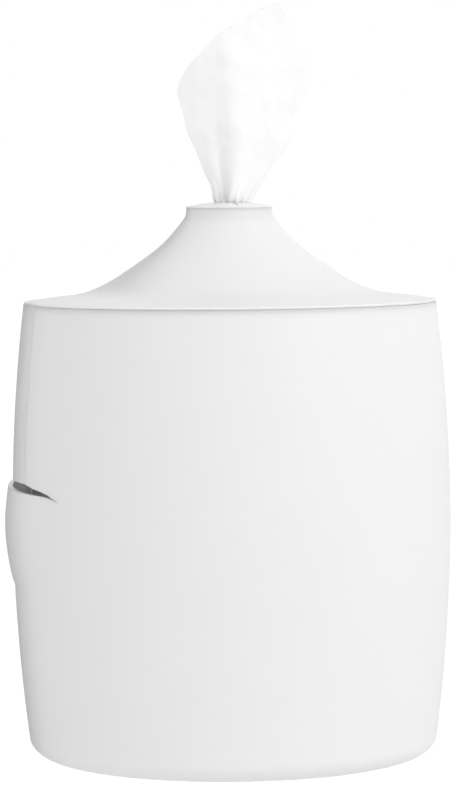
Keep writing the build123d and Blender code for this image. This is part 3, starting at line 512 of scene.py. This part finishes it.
# Wipe sheet: a gathered loop of cloth, open at the right, cut off by its torn edge
def wipe_row(height, turn):
    """One level of the sheet; turn runs from its right edge round the front and the left fold."""
    left = curve_at(WIPE_LEFT, height)
    right = curve_at(WIPE_RIGHT, height)
    back_right = curve_at(WIPE_BACK_RIGHT, height)
    width = right - left
    front = turn <= math.pi
    reach = np.where(front, right, back_right) - left
    across = left + reach * (1.0 + np.cos(turn)) / 2.0
    from_right = (right - across) / width

    # The front is two panels that meet in a ridge, with a crease in the left one
    ridge_at = (right - curve_at(WIPE_RIDGE, height)) / width
    crease_at = (right - curve_at(WIPE_CREASE, height)) / width
    ridge = RIDGE_DEPTH * (1.0 - smooth(*RIDGE_FADE, height)) + RIDGE_TOP_DEPTH
    right_panel = from_right / ridge_at
    left_panel = (1.0 - from_right) / (1.0 - ridge_at)
    meeting = np.minimum(right_panel, left_panel)
    apart = right_panel - left_panel
    blend = np.clip(0.5 + 0.5 * apart / PANEL_SOFTNESS, 0.0, 1.0)
    panels = right_panel - apart * blend - PANEL_SOFTNESS * blend * (1.0 - blend)
    panels = np.where(np.abs(apart) < PANEL_SOFTNESS, panels, meeting)
    crease = CREASE_DEPTH * (1.0 - smooth(*CREASE_FADE, height))
    crease_shape = np.exp(-(((from_right - crease_at) / CREASE_WIDTH) ** 2))
    front_depth = -ridge * panels + crease * crease_shape

    # The back is a slack panel with soft waves
    fold_round = np.abs(np.sin(turn)) ** FOLD_ROUNDNESS
    slack = 1.0 - smooth(*BACK_SLACK_FADE, height)
    waves = np.sin(BACK_WAVES * turn + BACK_WAVE_LEAN * height)
    back_depth = (BACK_DEPTH + BACK_SLACK * slack) * fold_round + BACK_WAVE * fold_round * waves
    depth = np.where(front, front_depth, back_depth)

    # Towards the neck the loop closes into a pleated bundle
    gathered = 1.0 - smooth(*GATHER_RANGE, height)
    middle = BUNDLE_SHIFT * smooth(*BUNDLE_SHIFT_RANGE, height)
    bundle_across = middle + NECK_RADIUS * np.cos(turn)
    bundle_depth = -NECK_RADIUS * np.sin(turn)
    across = across + (bundle_across - across) * gathered
    depth = depth + (bundle_depth - depth) * gathered
    outward = np.stack(
        [np.cos(turn) / max(width, LOOP_DEPTH), -np.sin(turn) / LOOP_DEPTH], axis=-1
    )
    outward /= np.linalg.norm(outward, axis=-1, keepdims=True)
    pleat = NECK_PLEAT - (NECK_PLEAT - TOP_PLEAT) * smooth(*PLEAT_RANGE, height)
    pleat *= 1.0 - smooth(*PLEAT_FADE, height)
    pleats = pleat * np.cos(PLEATS * turn + PLEAT_START)
    across = across + outward[:, 0] * pleats
    depth = depth + outward[:, 1] * pleats

    # Above, the sheet leans back; below, the bundle twists
    depth = depth + LEAN_BACK * smooth(*LEAN_RANGE, height)
    twist = TWIST_PER_MM * (NECK_TOP_Z - min(height, NECK_TOP_Z))
    from_middle = across - middle * gathered
    turned = from_middle * math.cos(twist) - depth * math.sin(twist)
    depth = np.where(twist > 0.0, from_middle * math.sin(twist) + depth * math.cos(twist), depth)
    across = np.where(twist > 0.0, turned + middle * gathered, across)
    return facing_camera(across, depth, np.full(turn.size, height))


def wipe_turns(height):
    """From the right edge round to the left fold, and on round the back where the sheet has one."""
    front_end = math.pi
    back_end = 2.0 * math.pi
    if height > WIPE_FOLD_Z:
        left = curve_at(WIPE_LEFT, height)
        right = curve_at(WIPE_RIGHT, height)
        share = (right - curve_at(WIPE_TORN_EDGE, height)) / (right - left)
        front_end = math.acos(1.0 - 2.0 * min(max(share, 0.0), 1.0))
        back_end = front_end
    elif height > WIPE_BACK_CORNER_Z:
        share = (WIPE_FOLD_Z - height) / (WIPE_FOLD_Z - WIPE_BACK_CORNER_Z)
        back_end = math.pi + math.acos(1.0 - 2.0 * share)
    front = np.linspace(0.0, front_end, FRONT_STEPS)
    back = np.linspace(front_end, back_end, BACK_STEPS + 1)
    return np.concatenate([front, back[1:]])


def crumple(points, cell, height, seed):
    """Moves a grid's points in and out along its normals by soft noise, all in metres."""
    down = np.gradient(points, axis=0)
    along = np.gradient(points, axis=1)
    normals = np.cross(down, along)
    normals /= np.maximum(np.linalg.norm(normals, axis=-1, keepdims=True), TINY)
    return points + normals * (height * ripple(points, cell, seed))[..., None]


wipe_heights = np.linspace(WIPE_TIP_Z, WIPE_BOTTOM_Z, HEIGHT_STEPS)
wipe_grid = np.array([wipe_row(height, wipe_turns(height)) for height in wipe_heights])
loose = smooth(*LOOSE_RANGE, wipe_heights)[:, None, None]
wrinkled = crumple(crumple(wipe_grid, *COARSE_WRINKLES), *FINE_WRINKLES)
wipe_grid = wipe_grid + (wrinkled - wipe_grid) * loose
has_cloth = np.ones((wipe_heights.size - 1, FRONT_STEPS + BACK_STEPS - 1), bool)
has_cloth[wipe_heights[:-1] > WIPE_FOLD_Z, FRONT_STEPS - 1 :] = False
wipe_piece = grid_object("wipe_top_sheet", wipe_grid, kept=has_cloth)
wipe_piece.data.materials.append(wipe_cloth)
thicken(wipe_piece, CLOTH_THICKNESS)
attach(wipe_piece, "wipe")
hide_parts("wipe_sheet")


# Tail: the next wipes of the chain, pleated and twisted into a rope
def tail_row(height):
    """One level of the rope, whose thickness swells and shrinks."""
    turn = np.linspace(0.0, 2.0 * math.pi, TAIL_TURN_STEPS, endpoint=False)
    fall = (WIPE_BOTTOM_Z - height) / (WIPE_BOTTOM_Z - TAIL_BOTTOM_Z)
    swell = 0.5 - 0.5 * math.cos(2.0 * math.pi * TAIL_LUMPS * fall)
    pleats = np.cos(TAIL_PLEATS * turn + 0.5 * np.sin(3 * turn))
    middle_radius = TAIL_RADIUS + TAIL_SWELL * swell
    radius = middle_radius + (TAIL_PLEAT + TAIL_PLEAT_SWELL * swell) * pleats
    return about_axis(radius, turn + TAIL_TWIST * fall, height)


tail_heights = np.linspace(WIPE_BOTTOM_Z, TAIL_BOTTOM_Z, TAIL_HEIGHT_STEPS)
tail_grid = np.array([tail_row(height) for height in tail_heights])
tail_piece = grid_object("wipe_chain", tail_grid, closed=True)
tail_piece.data.materials.append(wipe_cloth)
thicken(tail_piece, CLOTH_THICKNESS)
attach(tail_piece, "wipe")
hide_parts("wipe_tail")


# Roll: wound layers show at both ends, and the outside is a little uneven
def roll_grid():
    """A closed outline of the wound roll, turned about the axis."""
    layers = int((ROLL_RADIUS - ROLL_CORE_RADIUS) / ROLL_LAYER)
    out = np.linspace(ROLL_CORE_RADIUS, ROLL_RADIUS, ROLL_LAYER_POINTS * layers + 1)
    layer_turns = 2.0 * math.pi * np.arange(out.size) / ROLL_LAYER_POINTS
    grooves = ROLL_GROOVE * (np.cos(layer_turns) - 1.0)
    side = np.linspace(ROLL_TOP_Z, ROLL_BOTTOM_Z, ROLL_SIDE_STEPS)[1:-1]
    outside = np.full(side.size, ROLL_RADIUS)
    core = np.full(side.size, ROLL_CORE_RADIUS)
    radii = np.concatenate([out, outside, out[::-1], core])
    heights = np.concatenate([ROLL_TOP_Z + grooves, side, ROLL_BOTTOM_Z - grooves, side[::-1]])
    rows = []
    for turn in np.linspace(0.0, 2.0 * math.pi, ROLL_TURN_STEPS, endpoint=False):
        unevenness = ROLL_UNEVENNESS * np.cos(ROLL_LOBES * turn)
        rows.append(about_axis(radii - ROLL_INSET + unevenness, turn, heights))
    rows.append(rows[0])
    return np.array(rows)


roll_piece = grid_object("wound_roll", roll_grid(), closed=True)
roll_piece.data.materials.append(wound_cloth)
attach(roll_piece, "housing")
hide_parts("wipe_roll")


# Bag: thin film about the roll, gathered in pleats on its shoulder
def bag_grid():
    """The film from the middle of its bottom to its mouth."""
    turns = np.linspace(0.0, 2.0 * math.pi, BAG_TURN_STEPS, endpoint=False)
    edge_radius = BAG_RADIUS - BAG_EDGE
    rows = []
    for radius in np.linspace(BAG_MIDDLE_RADIUS, edge_radius, BAG_BOTTOM_STEPS):
        rows.append(about_axis(np.full(turns.size, radius), turns, BAG_BOTTOM_Z))
    side_bottom = BAG_BOTTOM_Z + BAG_EDGE
    side_top = BAG_SHOULDER_Z - BAG_EDGE
    for height in np.linspace(side_bottom, side_top, BAG_SIDE_STEPS):
        fading = np.cos(3 * turns + 0.05 * height)
        creases = BAG_CREASE * np.cos(BAG_CREASES * turns + 0.03 * height) * fading
        rows.append(about_axis(BAG_RADIUS - BAG_EDGE / 2.0 + creases, turns, height))
    folds = np.cos(BAG_PLEATS * turns + 0.8 * np.sin(4 * turns))
    for step in np.linspace(0.0, 1.0, BAG_SHOULDER_STEPS):
        radius = edge_radius + (BAG_MOUTH_RADIUS - edge_radius) * step
        height = BAG_SHOULDER_Z + (BAG_MOUTH_Z - BAG_SHOULDER_Z) * step
        pleats = BAG_PLEAT * step * (1.0 - 0.6 * step) * folds
        rows.append(about_axis(np.full(turns.size, radius), turns, height + pleats - BAG_SAG * step))
    return np.array(rows)


bag_piece = grid_object("refill_film", bag_grid(), closed=True)
bag_piece.data.materials.append(bag_film)
thicken(bag_piece, FILM_THICKNESS)
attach(bag_piece, "housing")
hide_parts("refill_bag")


# Floor
def floor_object():
    """A large round floor well below the part."""
    turns = np.linspace(0.0, 2.0 * math.pi, FLOOR_TURN_STEPS, endpoint=False)
    rings = [about_axis(np.full(turns.size, radius), turns, FLOOR_Z) for radius in FLOOR_RINGS]
    made = grid_object("floor", np.array(rings), closed=True)
    material, shader = new_material("floor_paper", Roughness=0.9, Specular_IOR_Level=0.1)
    fibres = speckle(material, scale=60.0, detail=3.0)
    shade = tint(material, fibres, "Fac", (0.92, 0.92, 0.92), (0.935, 0.935, 0.935))
    join(material, shade, "Color", shader, "Base Color")
    rays = node(material, "ShaderNodeLightPath")
    lift = node(material, "ShaderNodeMath", operation="MULTIPLY")
    lift.inputs[1].default_value = FLOOR_GLOW
    glow = node(material, "ShaderNodeEmission")
    both = node(material, "ShaderNodeAddShader")
    output = material.node_tree.nodes["Material Output"]
    join(material, rays, "Is Camera Ray", lift, 0)
    join(material, lift, "Value", glow, "Strength")
    join(material, shader, "BSDF", both, 0)
    join(material, glow, "Emission", both, 1)
    join(material, both, "Shader", output, "Surface")
    made.data.materials.append(material)
    return made


floor_object()


# Dark card at the left behind the part, for the thin dark lines along its left edges
def aimed(place, target):
    """A turn that points an object's -Z at a target."""
    return (Vector(target) - Vector(place)).to_track_quat("-Z", "Y")


def flag_object():
    """The card: only reflections and bounced light meet it, not the camera, and it casts no shadow."""
    width, height = FLAG_SIZE
    across = np.linspace(-width / 2, width / 2, FLAG_STEPS)
    up = np.linspace(-height / 2, height / 2, FLAG_STEPS)
    grid = np.array([[(x, y, 0.0) for x in across] for y in up])
    made = grid_object("dark_card", grid)
    made.location = FLAG_CENTRE
    made.rotation_euler = aimed(FLAG_CENTRE, FLAG_AIM).to_euler()
    made.visible_camera = False
    made.visible_shadow = False
    material, shader = new_material("black_felt", Roughness=1.0, Specular_IOR_Level=0.0)
    felt = speckle(material, scale=300.0, detail=2.0)
    shade = tint(material, felt, "Fac", (0.02, 0.02, 0.022), (0.035, 0.035, 0.038))
    join(material, shade, "Color", shader, "Base Color")
    made.data.materials.append(material)
    return made


flag_object()


# Lights
def set_world():
    """White to the camera and in gloss; as light, brighter from the right front."""
    world = bpy.data.worlds.new("studio")
    world.use_nodes = True
    bpy.context.scene.world = world
    tree = world.node_tree
    sky = tree.nodes["Background"]
    output = tree.nodes["World Output"]
    place = node(world, "ShaderNodeTexCoord")
    slope = node(world, "ShaderNodeVectorMath", operation="DOT_PRODUCT")
    slope.inputs[1].default_value = WORLD_BRIGHT_SIDE
    level = node(world, "ShaderNodeMath", operation="MULTIPLY_ADD")
    level.inputs[1].default_value = WORLD_TILT
    level.inputs[2].default_value = WORLD_LEVEL
    join(world, place, "Generated", slope, 0)
    join(world, slope, "Value", level, 0)
    join(world, level, "Value", sky, "Strength")
    sky.inputs["Color"].default_value = WORLD_COLOUR
    white = node(world, "ShaderNodeBackground", Color=(1.0, 1.0, 1.0, 1.0), Strength=1.0)
    rays = node(world, "ShaderNodeLightPath")
    seen = node(world, "ShaderNodeMath", operation="MAXIMUM")
    seen_too = node(world, "ShaderNodeMath", operation="MAXIMUM")
    pick = node(world, "ShaderNodeMixShader")
    join(world, rays, "Is Camera Ray", seen, 0)
    join(world, rays, "Is Glossy Ray", seen, 1)
    join(world, seen, "Value", seen_too, 0)
    join(world, rays, "Is Transmission Ray", seen_too, 1)
    join(world, seen_too, "Value", pick, "Fac")
    join(world, sky, "Background", pick, 1)
    join(world, white, "Background", pick, 2)
    join(world, pick, "Shader", output, "Surface")


set_world()
key_light = bpy.data.lights.new("key", "AREA")
key_light.energy = KEY_WATTS
key_light.size = KEY_SIZE
key = bpy.data.objects.new("key", key_light)
key.location = KEY_PLACE
key.rotation_euler = aimed(KEY_PLACE, FLAG_AIM).to_euler()
bpy.context.scene.collection.objects.link(key)


# Camera
def camera_object():
    """The viewpoint: left of the front, a little above the nozzle, looking slightly down."""
    data = bpy.data.cameras.new("camera")
    data.sensor_fit = "VERTICAL"
    data.sensor_height = SENSOR_MM
    data.lens = SENSOR_MM * FOCAL_PIXELS / IMAGE_HEIGHT_PIXELS
    data.clip_end = VIEW_REACH_M
    made = bpy.data.objects.new("camera", data)
    azimuth = math.radians(CAMERA_AZIMUTH)
    place = Vector(
        (
            CAMERA_DISTANCE * math.sin(azimuth),
            AXIS_Y - CAMERA_DISTANCE * math.cos(azimuth),
            CAMERA_HEIGHT,
        )
    )
    turn = (
        Matrix.Rotation(azimuth + math.radians(CAMERA_YAW), 4, "Z")
        @ Matrix.Rotation(math.radians(90.0 - CAMERA_PITCH), 4, "X")
        @ Matrix.Rotation(-math.radians(CAMERA_ROLL), 4, "Z")
    )
    made.matrix_world = Matrix.Translation(place * MM) @ turn
    bpy.context.scene.collection.objects.link(made)
    return made


bpy.context.scene.camera = camera_object()
bpy.context.scene.view_settings.view_transform = "Standard"
